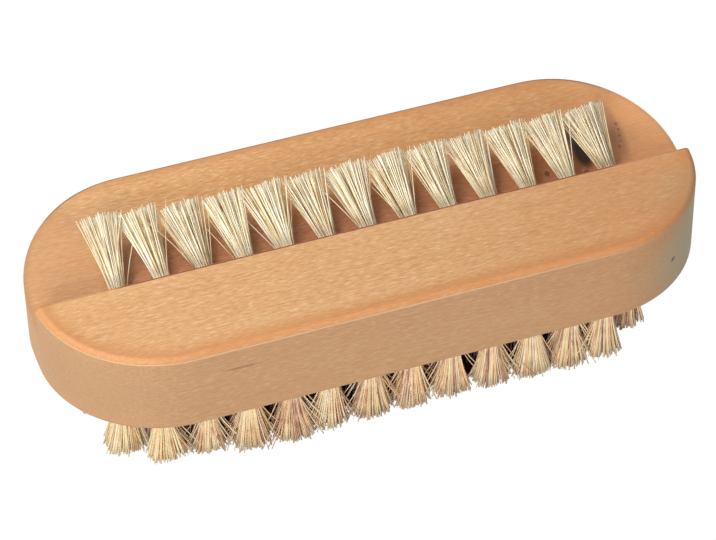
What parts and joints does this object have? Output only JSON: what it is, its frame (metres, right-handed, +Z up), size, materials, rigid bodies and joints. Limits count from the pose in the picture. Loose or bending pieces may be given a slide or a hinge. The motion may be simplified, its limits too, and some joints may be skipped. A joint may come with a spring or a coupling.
{
  "type": "nail brush",
  "caption": "Two-sided wooden nail brush: stepped round-cornered block with a field of natural fibre tufts below and one leaning row of tufts on top.",
  "frame": {"origin": "middle of the brush on the plane that its lower bristle tips stand on", "axes": "+Z up out of the flat land, +X along the brush, +Y from the flat land towards the leaning tufts' tips"},
  "size_m": [0.095, 0.038, 0.0274],
  "materials": {
    "wood": "fine sanded, thin clear wax",
    "fibre": "pale stiff plant fibre",
    "wire": "rolled flat wire"
  },
  "bodies": {
    "root": {"block": "wood", "top_tuft_1": "fibre", "top_tuft_2": "fibre", "top_tuft_3": "fibre", "top_tuft_4": "fibre", "top_tuft_5": "fibre", "top_tuft_6": "fibre", "top_tuft_7": "fibre", "top_tuft_8": "fibre", "top_tuft_9": "fibre", "top_tuft_10": "fibre", "top_tuft_11": "fibre", "top_tuft_12": "fibre", "top_tuft_13": "fibre", "rim_tuft_1": "fibre", "rim_tuft_2": "fibre", "rim_tuft_3": "fibre", "rim_tuft_4": "fibre", "rim_tuft_5": "fibre", "rim_tuft_6": "fibre", "rim_tuft_7": "fibre", "rim_tuft_8": "fibre", "rim_tuft_9": "fibre", "rim_tuft_10": "fibre", "rim_tuft_11": "fibre", "rim_tuft_12": "fibre", "rim_tuft_13": "fibre", "rim_tuft_14": "fibre", "rim_tuft_15": "fibre", "rim_tuft_16": "fibre", "rim_tuft_17": "fibre", "rim_tuft_18": "fibre", "rim_tuft_19": "fibre", "rim_tuft_20": "fibre", "rim_tuft_21": "fibre", "rim_tuft_22": "fibre", "rim_tuft_23": "fibre", "rim_tuft_24": "fibre", "rim_tuft_25": "fibre", "rim_tuft_26": "fibre", "rim_tuft_27": "fibre", "rim_tuft_28": "fibre", "rim_tuft_29": "fibre", "rim_tuft_30": "fibre", "rim_tuft_31": "fibre", "rim_tuft_32": "fibre", "rim_tuft_33": "fibre", "rim_tuft_34": "fibre", "field_row_1": "fibre", "field_row_2": "fibre", "field_row_3": "fibre", "field_row_4": "fibre", "field_row_5": "fibre", "top_anchors": "wire", "bottom_anchors": "wire"}
  },
  "joints": []
}
